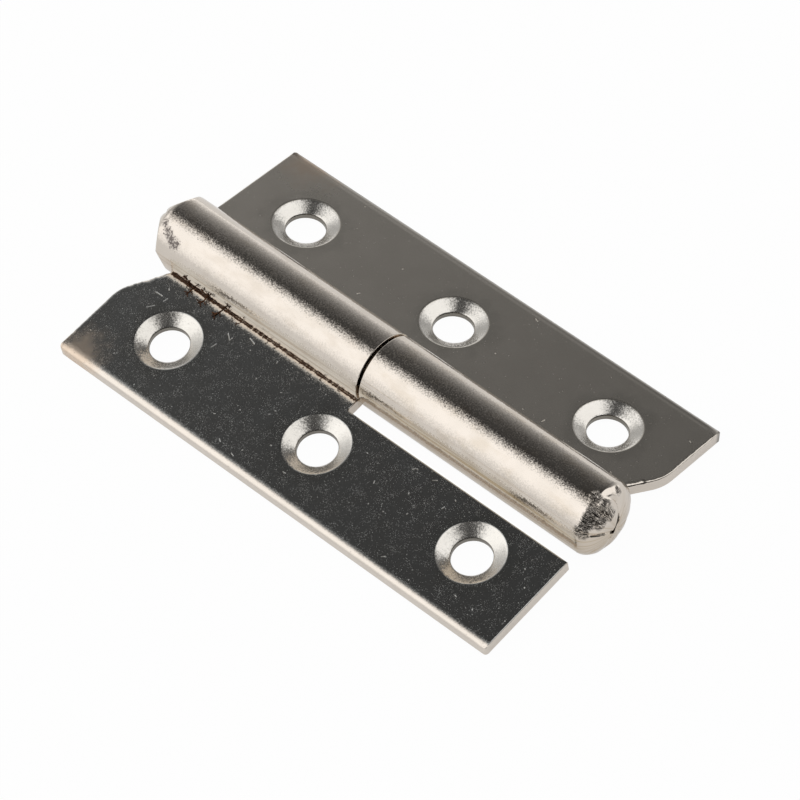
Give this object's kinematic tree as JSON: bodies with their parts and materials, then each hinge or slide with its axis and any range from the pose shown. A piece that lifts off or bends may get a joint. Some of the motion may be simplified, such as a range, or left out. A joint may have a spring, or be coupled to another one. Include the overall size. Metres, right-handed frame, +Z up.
{
  "type": "loose-joint butt hinge",
  "caption": "Lift-off butt hinge: two punched, rolled nickel-plated leaves with countersunk screw holes and crimped knuckle ends, turning on a hidden pin.",
  "frame": {"origin": "on the table below the middle of the pin, centre of the bounding box's underside", "axes": "+Z up with the countersinks on top, Y along the pin, lifting leaf on the +X side"},
  "size_m": [0.0362, 0.063, 0.0085],
  "materials": {
    "nickel_plate": "nickel-plated rolled steel, slightly worn, with rust in the seam",
    "pin_steel": "bright drawn steel rod"
  },
  "bodies": {
    "fixed_leaf": {"fixed_leaf": "nickel_plate"},
    "hinge_pin": {"hinge_pin": "pin_steel"},
    "lifting_leaf": {"lifting_leaf": "nickel_plate"}
  },
  "joints": [
    {"name": "leaf_swing", "type": "hinge", "parent": "fixed_leaf", "child": "hinge_pin", "pos_m": [0, 0, 0.00425], "axis": [0, -1, 0], "range_deg": [-122, 196]},
    {"name": "leaf_lift", "type": "slide", "parent": "hinge_pin", "child": "lifting_leaf", "axis": [0, -1, 0], "range_m": [-0.00035, 0.03]}
  ]
}
